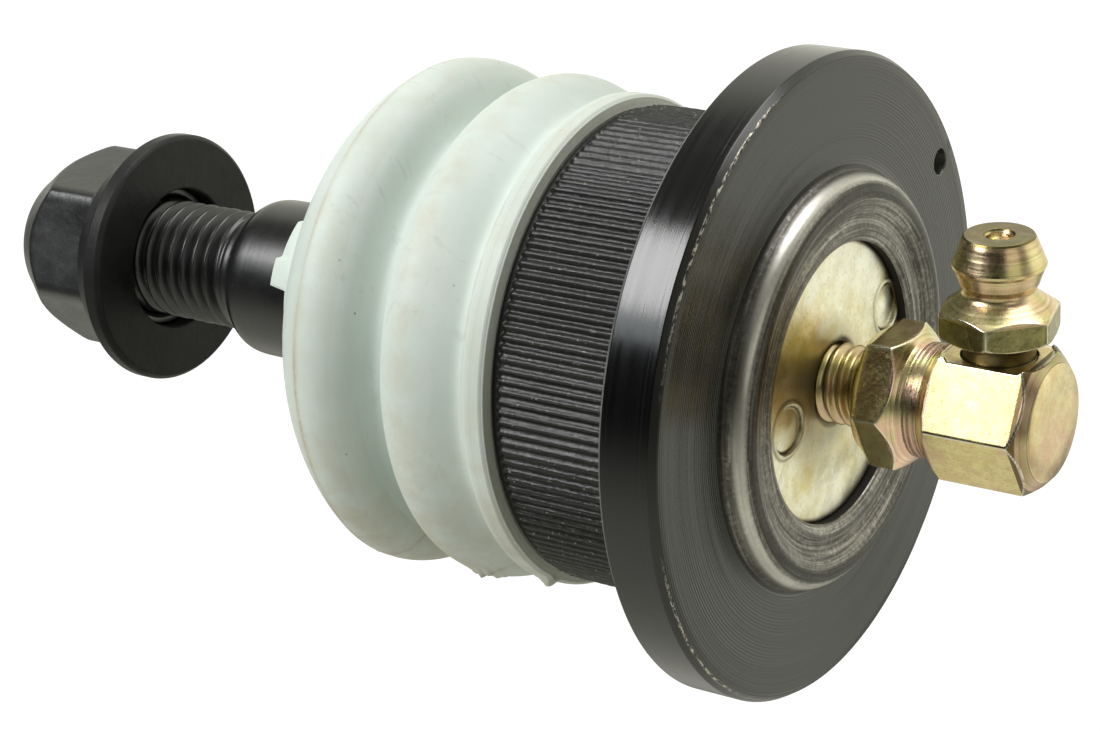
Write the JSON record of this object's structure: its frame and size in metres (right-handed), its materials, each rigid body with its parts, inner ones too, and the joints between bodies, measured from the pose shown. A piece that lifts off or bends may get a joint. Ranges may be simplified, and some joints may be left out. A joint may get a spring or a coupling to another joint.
{
  "type": "suspension ball joint",
  "caption": "Press-in suspension ball joint: flanged knurled housing, swinging and spinning threaded stud with washer nut, bellows boot and elbow grease fitting.",
  "frame": {"origin": "centre of the ball, on the joint's axis, within the press-fit body", "axes": "+X along the joint from the threaded stud to the cover plate and grease fitting; +Z the way the grease nipple points"},
  "size_m": [0.0926, 0.0482, 0.0482],
  "materials": {
    "black_steel": "machined, black oxide, satin",
    "black_stud": "black oxide, smooth",
    "black_washer": "black phosphate, matte",
    "yellow_zinc": "zinc plate with yellow passivate",
    "boot_rubber": "pale grey-green silicone, satin",
    "seat_polymer": "moulded, matte",
    "race_polymer": "moulded, matte",
    "spring_steel": "plain",
    "bright_steel": "polished"
  },
  "bodies": {
    "body": {"housing": "black_steel", "stud_side_seat": "seat_polymer", "pressure_seat": "seat_polymer", "preload_spring": "spring_steel", "cover_plate": "yellow_zinc", "dust_boot": "boot_rubber", "boot_lip_ring": "spring_steel"},
    "race": {"ball_race": "race_polymer"},
    "boot_neck": {"boot_neck_ring": "spring_steel"},
    "stud": {"ball_stud": "black_stud"},
    "washer": {"nut_washer": "black_washer"},
    "nut": {"stud_nut": "black_washer"},
    "elbow": {"elbow_body": "yellow_zinc", "grease_nipple": "yellow_zinc", "nipple_check_spring": "spring_steel"},
    "check_ball": {"nipple_check_ball": "bright_steel"}
  },
  "joints": [
    {"name": "swing_pitch", "type": "hinge", "parent": "body", "child": "race", "pos_m": [0, 0, 0], "axis": [0, 1, 0], "range_deg": [-20, 20], "deforming": ["dust_boot"]},
    {"name": "swing_yaw", "type": "hinge", "parent": "race", "child": "boot_neck", "pos_m": [0, 0, 0], "axis": [0, 0, 1], "range_deg": [-20, 20], "deforming": ["dust_boot"]},
    {"name": "stud_spin", "type": "hinge", "parent": "boot_neck", "child": "stud", "pos_m": [0, 0, 0], "axis": [1, 0, 0], "continuous": true},
    {"name": "nut_travel", "type": "slide", "parent": "stud", "child": "washer", "axis": [1, 0, 0], "range_m": [-0.009, 0.0085]},
    {"name": "nut_turn", "type": "hinge", "parent": "washer", "child": "nut", "pos_m": [-0.057, 0, 0], "axis": [1, 0, 0], "range_deg": [-2595, 2450]},
    {"name": "elbow_aim", "type": "hinge", "parent": "body", "child": "elbow", "pos_m": [0.0121, 0, 0], "axis": [1, 0, 0], "continuous": true},
    {"name": "check_ball_open", "type": "slide", "parent": "elbow", "child": "check_ball", "axis": [0, 0, -1], "range_m": [0, 0.0008], "stiffness_N_per_m": 60, "springref_m": -0.0005, "deforming": ["nipple_check_spring"]}
  ],
  "couplings": [
    {"joint": "nut_turn", "follows": "nut_travel", "rad_per_m": 5026.5}
  ]
}
